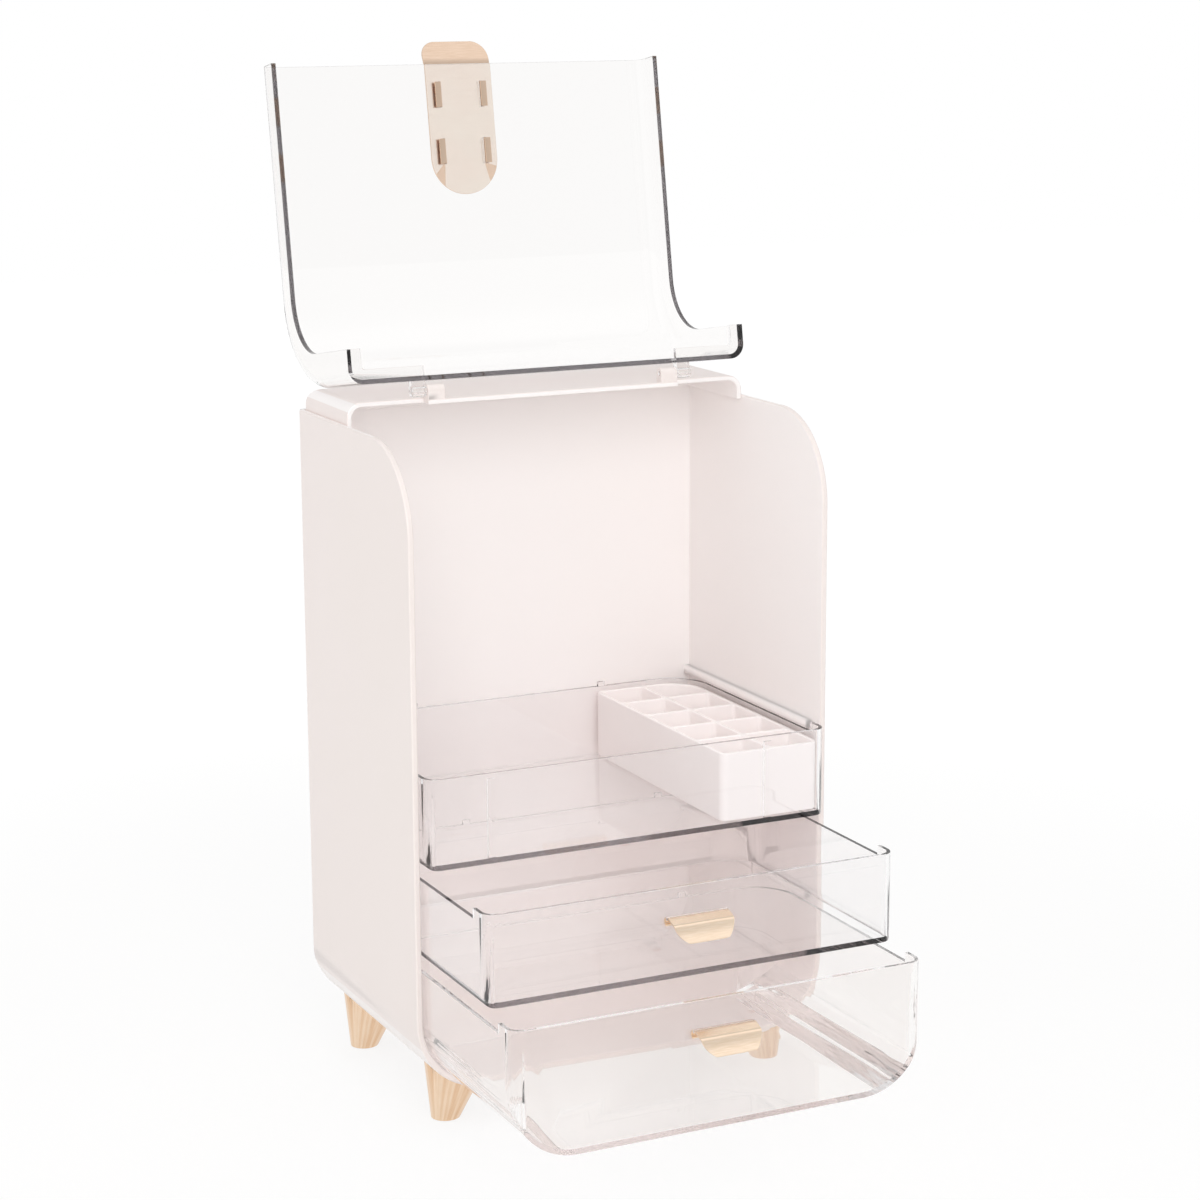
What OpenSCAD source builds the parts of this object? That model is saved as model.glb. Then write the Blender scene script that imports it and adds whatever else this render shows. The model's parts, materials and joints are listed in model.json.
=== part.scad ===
/* [Housing] */
// Width of the housing over its side walls
body_w = 232; // [222:1:244]
// Depth of the housing from its front rims to its back
body_d = 150; // [146:1:160]
// Height of the side walls' top edges above the table
side_top = 349; // [346:1:356]
// Gap between the table and the flat of the housing floor
foot_h = 22; // [20:0.5:24]
// Thickness of the housing walls
wall = 3.2; // [2.8:0.1:3.4]
// Radius of the rounded lower corners
corner_r = 38; // [34:1:40]
// Radius of the side walls' upper front corners
shoulder_r = 46; // [40:1:50]
// Radius of the rear vertical edges
back_r = 4; // [3:0.5:6]

/* [Rear deck] */
// Height of the deck surface above the side walls' top edges
deck_rise = 11; // [10:0.5:12]
// Depth of the deck beside its middle tongue
deck_d = 63; // [60:1:66]
// Thickness of the deck
deck_t = 2.6; // [2.2:0.1:3]
// Reach of the middle tongue in front of the deck
tongue_reach = 7; // [6:0.5:7]
// Radius of the rounded side edges of the deck and the lid
edge_r = 8; // [6:0.5:9]
// Radius of the deck's rear top edge
deck_back_r = 6; // [5:0.5:6]

/* [Hinge] */
// Height of the hinge axis above the deck surface
axis_rise = 4.4; // [4.2:0.1:4.8]
// Outer radius of the lugs and the bosses around the hinge pins
knuckle_r = 3; // [2.8:0.1:3.2]
// Radius of a hinge pin
pin_r = 1.25; // [1:0.05:1.4]
// Radial clearance of a pin in its boss
pin_clear = 0.05; // [0.02:0.01:0.08]
// Distance from the middle to the inner face of a lid lug
lug_x = 71.5; // [66:0.5:73]
// Width of a lid lug
lug_w = 7.5; // [5:0.5:8]
// Width of a boss on the tongue
boss_w = 9.5; // [8:0.5:11]
// How far the lid stands open
open_angle = 189.5; // [100:0.5:189.5]

/* [Lid] */
// Wall of the lid
lid_t = 2.5; // [2.2:0.1:2.8]
// Radius of the bend between the lid's top and its front
lid_bend_r = 48; // [42:1:52]
// Depth of the lid's side flanges
flange = 18; // [17:0.5:20]
// Width of the band that closes the lid's hinged end along its rim
end_band = 7.5; // [6:0.5:8]
// Reach of the lid, tray and drawer fronts ahead of the side walls
front_reach = 9; // [8:0.5:10]

/* [Tray and drawers] */
// Height of the tray and of the middle drawer at their fronts
unit_h = 46; // [44:0.5:46]
// Height of the bottom drawer at its front
bottom_h = 66; // [64:0.5:67]
// Gap between one front and the next
front_gap = 2; // [1.6:0.1:2.2]
// Wall of the tray and the drawers
box_t = 2; // [1.8:0.1:2.4]
// Floor of the tray and the drawers
box_floor = 2.4; // [2:0.1:2.8]
// How far the side and rear walls stay below the fronts
step_down = 5; // [4.5:0.5:5.5]
// Length of the raised return behind a front
return_len = 15; // [12:0.5:15]
// Radius of the vertical edges at the front
front_edge_r = 8; // [6:0.5:9]
// Radius of the vertical edges at the rear
rear_edge_r = 24; // [20:1:26]
// Gap between a drawer and the housing walls
side_gap = 0.6; // [0.5:0.1:0.8]
// How far the middle drawer is pulled out
middle_out = 69; // [0:1:100]
// How far the bottom drawer is pulled out
bottom_out = 97; // [0:1:100]

/* [Rails] */
// Width of a slide rail
rail_w = 3.4; // [3:0.1:3.8]
// Thickness of a slide rail
rail_t = 4.4; // [4:0.1:4.6]
// Gap between a rail and what slides on it
rail_gap = 0.4; // [0.3:0.1:0.5]
// Start of the rails behind the front rims
rail_start = 9; // [8:0.5:12]

/* [Lipstick holder] */
// Columns of cells
cols = 2; // [1:1:3]
// Rows of cells
rows = 5; // [3:1:6]
// Width of the holder
holder_w = 57; // [50:1:60]
// Height of the holder
holder_h = 36; // [30:1:37]
// Wall between cells
cell_wall = 2.2; // [2:0.1:2.6]

/* [Pulls and handle] */
// Thickness of the gold sheet
sheet = 1; // [0.8:0.1:1]
// Width of a drawer pull
pull_w = 33; // [28:1:40]
// Height of the pull's slot below the drawer front's top edge
pull_drop = 15.5; // [14:0.5:18]
// Width of the lid handle
handle_w = 38.5; // [34:0.5:44]
// Length of the lid handle above the lid's free edge
handle_len = 70; // [60:1:76]
// Length of the handle's lip past the lid's free edge, along the sheet
lip_len = 13.5; // [11:0.5:15]
// Outward slope of the lip
lip_angle = 24; // [15:1:26]

/* [Feet] */
// Distance of a foot's centre on the table from the housing's side
side_inset = 23; // [22:0.5:26]
// Distance of a front foot's centre from the housing's front rims
front_inset = 22; // [20:1:26]
// Distance of a rear foot's centre from the housing's back
rear_inset = 15; // [14:1:20]
// Radius of a foot at the table
foot_r = 7.2; // [6.8:0.1:7.6]
// Flare of a foot on each side of its own axis
foot_flare = 17; // [14:1:18]
// Lean of a foot's axis towards the middle
foot_lean = 12; // [9:0.5:13]

/* [Hidden] */
$fn = 96;
eps = 0.01;
far = 600;

fit_clear = 0.2;
lug_clear = 0.6;
box_rear_gap = 1.8;
lid_drop = 0.6;
lid_gap = 1.5;
lid_rear_gap = 2;

half_w = body_w / 2;
inner_half = half_w - wall;
front_y = -body_d / 2;
back_y = body_d / 2;
back_in_y = back_y - wall;
front_face_y = front_y - front_reach;
floor_z = foot_h + wall;
inner_corner_r = corner_r - wall;

deck_top = side_top + deck_rise;
deck_half = inner_half - fit_clear;
deck_back_y = back_in_y - fit_clear;
deck_front_y = back_y - deck_d;
deck_seat = 2;
skirt_drop = deck_rise + deck_seat;
tongue_half = lug_x - lug_clear;
tongue_y = deck_front_y - tongue_reach;

axis_y = tongue_y + knuckle_r + lug_clear;
axis_z = deck_top + axis_rise;

box_half = inner_half - side_gap;
box_back_y = back_in_y - box_rear_gap;
bottom_z = floor_z + rail_gap;
middle_z = bottom_z + bottom_h + front_gap;
tray_z = middle_z + unit_h + front_gap;
tray_top = tray_z + unit_h;
return_y = front_face_y + return_len;
box_corner_r = inner_corner_r - side_gap;

lid_half = box_half;
lid_top = deck_top - lid_drop;
lid_low = tray_top + lid_gap;
lid_rear_y = deck_front_y - lid_rear_gap;
lid_cut_y = tongue_y - 1;

rail_headroom = 1;
band_corner_r = 1.5;
slot_clear = 0.2;
tab = [3.4, 13.5];
tab_x = 11.6;
tab_rise = [9.5, 40];
lip_bend_r = 8;
lip_arc = lip_bend_r * lip_angle * PI / 180;
lip_drop = (lip_bend_r + sheet) * sin(lip_angle) + (lip_len - lip_arc) * cos(lip_angle);
lip_reach = lip_bend_r + sheet + lip_len;
lip_flat = 0.3;
plate_lap = 1;
lip_corner_r = (lip_len - lip_arc) * cos(lip_angle) - lip_flat;
rib = [4, 1.2];
rib_x = 77.5;
rib_drop = 3;
holder_gap = 0.6;
holder_right = inner_half - rail_w - holder_gap;
holder_front = front_face_y + box_t + rib[1] + holder_gap;
holder_back = box_back_y - box_t - holder_gap;
holder_lift = 0.3;
holder_base = tray_z + box_floor + holder_lift;
cell_floor = 3;
cell_r = 2;
box_edge_r = 4;
pull_edge_r = 10;
pull_low = 10.5;
pull_seat = box_t + 0.5;
pull_apron = [[pull_seat + 0.8, 3, -20], [4.2, 2.2, -46], [1.5, 14, 24], [1.2, 0, 0]];
pull_curl = [[0, 1.9, 85], [0, 1.9, 85]];
arc_steps = 12;
bend_reach = 2;
nub = [4, 1.6, 2.4];
nub_x = 56;
foot_x = half_w - side_inset;
screw_inset = 30;
screw_x = half_w - screw_inset;
seat_clear = 0.05;
screw_head = [3, 1.2];
screw_shank = [1.4, 8];
screw_clear = 0.1;
head_clear = 0.2;
head_bite = screw_x - screw_head[0] - head_clear - half_w + corner_r;
screw_seat_z = foot_h + corner_r - sqrt(pow(inner_corner_r, 2) - pow(head_bite, 2))
               - screw_head[1] - seat_clear;
foot_y = [front_y + front_inset, back_y - rear_inset];
foot_spare = 6;
foot_rise = 12;
pad_r = 5.6;
pad_h = 1.2;
pad_proud = 0.4;

body_pink = "#f4ecea";
clear_tint = "#e9edf0";
gold = "#e9c9a6";
pad_grey = "#8a8684";
steel = "#c9ccd0";

// A 2D outline in X and Z, made into a solid from y0 to y1
module along_y(y0, y1) {
  translate([0, y1, 0]) rotate([90, 0, 0]) linear_extrude(y1 - y0) children();
}

// A 2D outline in Y and Z, made into a solid from x0 to x1
module along_x(x0, x1) {
  translate([x0, 0, 0]) rotate([90, 0, 90]) linear_extrude(x1 - x0) children();
}

// What a corner at p loses when it is rounded; s points from the corner into the outline
module corner_bite(p, s, r) {
  if (r > 0) translate(p) difference() {
    translate([s[0] > 0 ? -1 : -r, s[1] > 0 ? -1 : -r]) square(r + 1);
    translate([s[0] * r, s[1] * r]) circle(r);
  }
}

// The same loss at a lower left corner p, with its arc in short straight steps
module stepped_bite(p, r) {
  c = p + [r, r];
  arc = [for (i = [0:arc_steps]) c - r * [cos(i * 90 / arc_steps), sin(i * 90 / arc_steps)]];
  polygon(concat([p - [1, 1], [p[0] - 1, c[1]]], arc, [[c[0], p[1] - 1]]));
}

// A rectangle from a to b with its own radius at the lower left, lower right, upper right, upper left
module panel(a, b, r) {
  difference() {
    translate(a) square(b - a);
    corner_bite(a, [1, 1], r[0]);
    corner_bite([b[0], a[1]], [-1, 1], r[1]);
    corner_bite(b, [-1, -1], r[2]);
    corner_bite([a[0], b[1]], [1, -1], r[3]);
  }
}

module block(a, b) {
  translate(a) cube(b - a);
}

// Turns a right-hand piece into the left-hand one when s is -1
module facing(s) {
  if (s < 0) mirror([1, 0, 0]) children();
  else children();
}

module mirrored_x() {
  children();
  mirror([1, 0, 0]) children();
}

// ---- housing ----

module housing_section() {
  panel([-half_w, foot_h], [half_w, side_top], [corner_r, corner_r, 0, 0]);
}

module cavity_section() {
  r = inner_corner_r;
  panel([-inner_half, floor_z], [inner_half, far], [r, r, 0, 0]);
}

module rail(z) {
  block([inner_half - rail_w, front_y + rail_start, z - rail_gap - rail_t],
        [inner_half + wall / 2, back_in_y + wall / 2, z - rail_gap]);
}

module foot_places() {
  for (x = [-1, 1], y = foot_y) translate([x * screw_x, y, 0]) children();
}

module housing() {
  color(body_pink) difference() {
    union() {
      difference() {
        intersection() {
          along_y(front_y, back_y) housing_section();
          along_x(-half_w, half_w) panel([front_y, 0], [back_y, side_top], [0, 0, 0, shoulder_r]);
          linear_extrude(far) panel([-half_w, front_y], [half_w, back_y], [0, 0, back_r, back_r]);
        }
        along_y(front_y - 1, back_in_y) cavity_section();
      }
      mirrored_x() for (z = [middle_z, tray_z, tray_top + rail_headroom]) rail(z);
    }
    foot_places() {
      cylinder(h = foot_h * 2, r = screw_shank[0] + screw_clear);
      translate([0, 0, screw_seat_z]) cylinder(h = foot_h * 2, r = screw_head[0] + head_clear);
    }
  }
}

// ---- rear deck ----

module deck_block(inset, low, front) {
  side_r = edge_r - inset;
  rear_r = deck_back_r - inset;
  half = deck_half - inset;
  rear = deck_back_y - inset;
  intersection() {
    along_y(front, rear) panel([-half, low], [half, deck_top - inset], [0, 0, side_r, side_r]);
    along_x(-half, half) panel([front, low], [rear, deck_top - inset], [0, 0, rear_r, 0]);
  }
}

module rear_deck() {
  color(body_pink) difference() {
    union() {
      difference() {
        deck_block(0, deck_top - skirt_drop, deck_front_y);
        deck_block(deck_t, deck_top - skirt_drop - 1, deck_front_y - 1);
      }
      block([-tongue_half, tongue_y, deck_top - deck_t], [tongue_half, deck_front_y + 1, deck_top]);
      mirrored_x() block([tongue_half - boss_w, axis_y - knuckle_r, deck_top - deck_t],
                         [tongue_half, axis_y + knuckle_r, axis_z]);
      mirrored_x() translate([tongue_half - boss_w, axis_y, axis_z]) rotate([0, 90, 0])
        cylinder(h = boss_w, r = knuckle_r);
    }
    mirrored_x() translate([tongue_half - boss_w - 1, axis_y, axis_z]) rotate([0, 90, 0])
      cylinder(h = boss_w + 2, r = pin_r + pin_clear);
  }
}

// ---- feet ----

module foot(s, y) {
  color(gold) translate([0, y, 0]) facing(s) difference() {
    intersection() {
      translate([foot_x, 0, 0]) rotate([0, -foot_lean, 0])
        translate([0, 0, -foot_spare]) cylinder(h = foot_h * 2 + foot_spare,
          r1 = foot_r - foot_spare * tan(foot_flare), r2 = foot_r + foot_h * 2 * tan(foot_flare));
      block([0, -far, pad_proud], [far, far, foot_h + foot_rise]);
    }
    along_y(-far, far) housing_section();
    translate([foot_x, 0, 0]) cylinder(h = pad_h, r = pad_r);
    translate([screw_x, 0, screw_seat_z - screw_shank[1]]) cylinder(h = far, r = screw_shank[0]);
  }
}

module foot_pad(s, y) {
  color(pad_grey) translate([s * foot_x, y, 0]) cylinder(h = pad_h, r = pad_r);
}

module foot_front_left() { foot(-1, foot_y[0]); }
module foot_front_right() { foot(1, foot_y[0]); }
module foot_rear_left() { foot(-1, foot_y[1]); }
module foot_rear_right() { foot(1, foot_y[1]); }
module foot_pad_front_left() { foot_pad(-1, foot_y[0]); }
module foot_pad_front_right() { foot_pad(1, foot_y[0]); }
module foot_pad_rear_left() { foot_pad(-1, foot_y[1]); }
module foot_pad_rear_right() { foot_pad(1, foot_y[1]); }

module foot_screws() {
  color(steel) foot_places() {
    translate([0, 0, screw_seat_z]) cylinder(h = screw_head[1], r = screw_head[0]);
    translate([0, 0, screw_seat_z - screw_shank[1]])
      cylinder(h = screw_shank[1] + eps, r = screw_shank[0]);
  }
}

// ---- lid, drawn closed and then swung open about the hinge axis ----

module lid_body(inset, low, rear) {
  half = lid_half - inset;
  r = edge_r - inset;
  depth = inset > 0 ? flange + 1 - inset : flange;
  top = lid_top - inset;
  face = front_face_y + inset;
  bend_y = front_face_y + lid_bend_r;
  bend_z = lid_top - lid_bend_r;
  bend = lid_bend_r - inset;
  along_y(bend_y, rear) panel([-half, top - depth], [half, top], [0, 0, r, r]);
  translate([0, bend_y, bend_z]) rotate([90, 0, 90]) rotate([0, 0, 90]) rotate_extrude(angle = 90)
    panel([bend - depth, -half], [bend, half], [0, r, r, 0]);
  translate([0, 0, low]) linear_extrude(bend_z - low)
    panel([-half, face], [half, face + depth], [r, r, 0, 0]);
}

module open_lid() {
  translate([0, axis_y, axis_z]) rotate([-open_angle, 0, 0]) translate([0, -axis_y, -axis_z]) children();
}

module tab_places() {
  mirrored_x() for (z = tab_rise) translate([tab_x, front_face_y, lid_low + z]) children();
}

module lid_end_band() {
  intersection() {
    along_y(lid_rear_y - lid_t, lid_rear_y) difference() {
      panel([-lid_half, lid_top - flange], [lid_half, lid_top], [0, 0, edge_r, edge_r]);
      panel([-lid_half + end_band, 0], [lid_half - end_band, lid_top - end_band],
            [0, 0, band_corner_r, band_corner_r]);
    }
    block([lug_x, -far, 0], [far, far, far]);
  }
}

module lid_lug() {
  block([lug_x, axis_y - knuckle_r, lid_top - lid_t], [lug_x + lug_w, lid_rear_y, axis_z]);
  translate([lug_x, axis_y, axis_z]) rotate([0, 90, 0]) cylinder(h = lug_w, r = knuckle_r);
}

module lid() {
  color(clear_tint, 0.4) open_lid() difference() {
    union() {
      difference() {
        lid_body(0, lid_low, lid_rear_y);
        lid_body(lid_t, lid_low - 1, lid_rear_y + 1);
        block([-lug_x, lid_cut_y, lid_top - lid_t - 1], [lug_x, lid_rear_y + 1, lid_top + 1]);
      }
      mirrored_x() lid_end_band();
      mirrored_x() lid_lug();
    }
    mirrored_x() translate([lug_x - 1, axis_y, axis_z]) rotate([0, 90, 0])
      cylinder(h = lug_w + 2, r = pin_r);
    tab_places() block([-slot_clear, -1, -slot_clear],
                       [sheet + slot_clear, lid_t + 1, tab[1] + slot_clear]);
  }
}

module hinge_pin(s) {
  color(clear_tint, 0.4) facing(s) translate([tongue_half - boss_w, axis_y, axis_z]) rotate([0, 90, 0])
    cylinder(h = lug_x + lug_w - tongue_half + boss_w, r = pin_r);
}

module hinge_pin_left() { hinge_pin(-1); }
module hinge_pin_right() { hinge_pin(1); }

// The lip seen edge on, with the plate's lower end at 0: its bend in short straight steps, then the flat
module lip_outline() {
  arc = [for (i = [0:arc_steps]) [cos(i * lip_angle / arc_steps), -sin(i * lip_angle / arc_steps)]];
  flat = (lip_len - lip_arc) * [-sin(lip_angle), -cos(lip_angle)];
  front = [for (p = arc) lip_bend_r * p];
  back = [for (i = [arc_steps:-1:0]) (lip_bend_r + sheet) * arc[i]];
  translate([-sheet - lip_bend_r, 0])
    polygon(concat([front[0] + [0, plate_lap]], front, [front[arc_steps] + flat, back[0] + flat], back,
                   [back[arc_steps] + [0, plate_lap]]));
}

module lid_handle() {
  r = handle_w / 2;
  color(gold) open_lid() {
    along_y(front_face_y - sheet, front_face_y)
      panel([-r, lid_low], [r, lid_low + handle_len], [0, 0, r, r]);
    difference() {
      along_x(-r, r) translate([front_face_y, lid_low]) lip_outline();
      mirrored_x() along_y(front_face_y - lip_reach, front_face_y)
        stepped_bite([-r, lid_low - lip_drop], lip_corner_r);
    }
    tab_places() {
      block([0, -eps, 0], [sheet, lid_t + sheet, tab[1]]);
      block([0, lid_t, 0], [tab[0], lid_t + sheet, tab[1]]);
    }
  }
}

// ---- tray and drawers ----

module box_plan(inset) {
  front_r = front_edge_r - inset;
  rear_r = rear_edge_r - inset;
  panel([-box_half + inset, front_face_y + inset], [box_half - inset, box_back_y - inset],
        [front_r, front_r, rear_r, rear_r]);
}

// The solid that a box fills, for its outside (inset 0) or its inside
module box_block(z, h, r, inset) {
  low = inset > 0 ? box_floor : 0;
  top = inset > 0 ? h + 1 : h;
  half = box_half - inset;
  intersection() {
    translate([0, 0, z + low]) linear_extrude(top - low) box_plan(inset);
    along_y(front_face_y - 1, back_y) panel([-half, z + low], [half, z + top], [r - inset, r - inset, 0, 0]);
  }
}

module clear_box(z, h, r) {
  rim = z + h - step_down;
  difference() {
    box_block(z, h, r, 0);
    box_block(z, h, r, box_t);
    block([-far, return_y, rim], [far, far, far]);
  }
  mirrored_x() block([nub_x - nub[0] / 2, box_back_y - nub[1], rim - eps],
                     [nub_x + nub[0] / 2, box_back_y, rim + nub[2]]);
}

module upper_tray() {
  color(clear_tint, 0.4) {
    clear_box(tray_z, unit_h, box_edge_r);
    mirrored_x() block([rib_x - rib[0] / 2, front_face_y + box_t - eps, tray_z + box_floor - eps],
                       [rib_x + rib[0] / 2, front_face_y + box_t + rib[1], tray_top - rib_drop]);
  }
}

module drawer(z, h, r, out) {
  slot_z = z + h - pull_drop;
  slot = [pull_w / 2 + slot_clear, sheet / 2 + slot_clear];
  color(clear_tint, 0.4) translate([0, -out, 0]) difference() {
    clear_box(z, h, r);
    block([-slot[0], front_face_y - 1, slot_z - slot[1]],
          [slot[0], front_face_y + box_t + 1, slot_z + slot[1]]);
  }
}

module middle_drawer() { drawer(middle_z, unit_h, box_edge_r, middle_out); }
module bottom_drawer() { drawer(bottom_z, bottom_h, box_corner_r, bottom_out); }

// ---- drawer pulls ----

// Sheet metal t thick, seen edge on: each step is a straight run, a bend radius and the turn of the bend
module bent_sheet(steps, t, i = 0) {
  if (i < len(steps)) {
    run = steps[i][0];
    r = steps[i][1];
    turn = steps[i][2];
    side = sign(turn);
    translate([-eps, -t / 2]) square([run + 2 * eps, t]);
    if (r > 0) translate([run, side * r]) intersection() {
      difference() {
        circle(r + t / 2);
        circle(r - t / 2);
      }
      reach = r * bend_reach;
      polygon([[0, 0], [0, -side * reach], reach * [sin(abs(turn) / 2), -side * cos(turn / 2)] * 2,
               reach * [sin(abs(turn)), -side * cos(turn)]]);
    }
    translate([run + r * sin(abs(turn)), side * r * (1 - cos(turn))]) rotate(turn)
      bent_sheet(steps, t, i + 1);
  }
}

module pull(z, out) {
  color(gold) translate([0, front_face_y - out, z]) difference() {
    translate([0, pull_seat, 0]) rotate([90, 0, -90]) linear_extrude(pull_w, center = true) {
      bent_sheet(pull_apron, sheet);
      rotate(180) bent_sheet(pull_curl, sheet);
    }
    mirrored_x() along_y(-front_reach * 2, 0) stepped_bite([-pull_w / 2, -pull_low], pull_edge_r);
  }
}

module middle_pull() { pull(middle_z + unit_h - pull_drop, middle_out); }
module bottom_pull() { pull(bottom_z + bottom_h - pull_drop, bottom_out); }

// ---- lipstick holder ----

module holder_plan(inset) {
  rear_r = rear_edge_r - box_t * 2 - inset;
  side_r = cell_r + cell_wall - inset;
  panel([holder_right - holder_w + inset, holder_front + inset], [holder_right - inset, holder_back - inset],
        [side_r, side_r, rear_r, side_r]);
}

module lipstick_holder() {
  corner = [holder_right - holder_w, holder_front] + [cell_wall, cell_wall];
  pitch = [(holder_w - cell_wall) / cols, (holder_back - holder_front - cell_wall) / rows];
  color(body_pink) difference() {
    translate([0, 0, holder_base]) linear_extrude(holder_h) holder_plan(0);
    translate([0, 0, holder_base + cell_floor]) linear_extrude(holder_h) intersection() {
      holder_plan(cell_wall);
      for (i = [0:cols - 1], j = [0:rows - 1])
        translate(corner + [i * pitch[0], j * pitch[1]])
          panel([0, 0], pitch - [cell_wall, cell_wall], [cell_r, cell_r, cell_r, cell_r]);
    }
  }
}

housing();
rear_deck();
foot_front_left();
foot_front_right();
foot_rear_left();
foot_rear_right();
foot_pad_front_left();
foot_pad_front_right();
foot_pad_rear_left();
foot_pad_rear_right();
foot_screws();
lid();
lid_handle();
hinge_pin_left();
hinge_pin_right();
upper_tray();
lipstick_holder();
middle_drawer();
middle_pull();
bottom_drawer();
bottom_pull();
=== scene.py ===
import json
import math

import bmesh
import bpy
from mathutils import Matrix, Vector

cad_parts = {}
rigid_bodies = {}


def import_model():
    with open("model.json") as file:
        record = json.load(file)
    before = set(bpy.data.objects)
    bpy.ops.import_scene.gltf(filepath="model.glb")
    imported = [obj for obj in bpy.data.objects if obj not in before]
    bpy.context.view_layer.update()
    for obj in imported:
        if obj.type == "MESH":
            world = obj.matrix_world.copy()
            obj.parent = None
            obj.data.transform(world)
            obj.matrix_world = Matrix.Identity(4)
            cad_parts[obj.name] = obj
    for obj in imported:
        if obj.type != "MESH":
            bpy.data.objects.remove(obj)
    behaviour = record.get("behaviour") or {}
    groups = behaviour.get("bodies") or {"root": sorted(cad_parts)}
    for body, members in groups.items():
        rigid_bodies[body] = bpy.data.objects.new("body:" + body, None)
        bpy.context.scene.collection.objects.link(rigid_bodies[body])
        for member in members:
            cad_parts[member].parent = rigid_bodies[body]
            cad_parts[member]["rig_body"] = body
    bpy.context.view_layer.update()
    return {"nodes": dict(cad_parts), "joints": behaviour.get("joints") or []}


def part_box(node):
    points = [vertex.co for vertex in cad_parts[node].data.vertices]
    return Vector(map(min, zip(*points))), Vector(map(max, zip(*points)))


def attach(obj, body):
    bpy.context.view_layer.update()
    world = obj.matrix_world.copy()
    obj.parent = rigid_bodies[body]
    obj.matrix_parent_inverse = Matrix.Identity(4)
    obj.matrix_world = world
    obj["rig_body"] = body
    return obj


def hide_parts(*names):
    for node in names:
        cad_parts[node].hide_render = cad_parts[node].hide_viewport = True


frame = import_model()
print("frame loaded:", len(frame["nodes"]), "nodes")

mm = 0.001  # the pieces' sizes below are in millimetres, the studio's in metres
bodyOf = {node: obj["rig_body"] for node, obj in frame["nodes"].items()}


def linearColour(hexText):
    shares = [int(hexText[i:i + 2], 16) / 255 for i in (1, 3, 5)]
    return (*(s / 12.92 if s <= 0.04045 else ((s + 0.055) / 1.055) ** 2.4 for s in shares), 1.0)


def perMetre(sizeMm):  # scale of a pattern whose features are this many millimetres apart
    return 1000.0 / sizeMm


# Links hold a socket, a plain value or, for an input that takes several, a list of sockets
def addNode(tree, kind, links=None, **settings):
    node = tree.nodes.new(kind)
    for name, value in settings.items():
        setattr(node, name, value)
    for key, value in (links or {}).items():
        for source in value if isinstance(value, list) else [value]:
            if isinstance(source, bpy.types.NodeSocket):
                tree.links.new(source, node.inputs[key])
            else:
                node.inputs[key].default_value = source
    return node


def newMaterial(name):
    material = bpy.data.materials.new(name)
    material.use_nodes = True
    material.node_tree.nodes.clear()
    return material, material.node_tree


# Gloss ABS, injection moulded: an even colour with a faint drift, and a soft shine that wavers where the skin
# sinks a little. The skin's fine grain is drawn as coarse as it needs to show
def mouldedPlastic(look):
    material, tree = newMaterial(look["name"])
    place = addNode(tree, "ShaderNodeTexCoord").outputs["Object"]
    drift = addNode(tree, "ShaderNodeTexNoise",
                    {"Vector": place, "Scale": perMetre(look["driftMm"]), "Detail": 2.0}).outputs["Fac"]
    colour = addNode(tree, "ShaderNodeMix",
                     {0: drift, 6: linearColour(look["colour"]), 7: linearColour(look["driftColour"])},
                     data_type="RGBA").outputs[2]
    haze = addNode(tree, "ShaderNodeTexNoise",
                   {"Vector": place, "Scale": perMetre(look["hazeMm"]), "Detail": 3.0}).outputs["Fac"]
    roughness = addNode(tree, "ShaderNodeMapRange",
                        {"Value": haze, "From Min": 0.3, "From Max": 0.7,
                         "To Min": look["roughness"][0], "To Max": look["roughness"][1]}).outputs["Result"]
    sink = addNode(tree, "ShaderNodeTexNoise",
                   {"Vector": place, "Scale": perMetre(look["sinkMm"]), "Detail": 1.0}).outputs["Fac"]
    grain = addNode(tree, "ShaderNodeTexNoise",
                    {"Vector": place, "Scale": perMetre(look["grainMm"]), "Detail": 2.0}).outputs["Fac"]
    waves = addNode(tree, "ShaderNodeBump",
                    {"Height": sink, "Strength": 1.0, "Distance": look["sinkDepthMm"] * mm}).outputs["Normal"]
    skin = addNode(tree, "ShaderNodeBump",
                   {"Height": grain, "Strength": 1.0, "Distance": look["grainDepthMm"] * mm,
                    "Normal": waves}).outputs["Normal"]
    plastic = addNode(tree, "ShaderNodeBsdfPrincipled",
                      {"Base Color": colour, "Roughness": roughness, "IOR": look["ior"], "Normal": skin})
    addNode(tree, "ShaderNodeOutputMaterial", {"Surface": plastic.outputs[0]})
    return material


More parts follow.
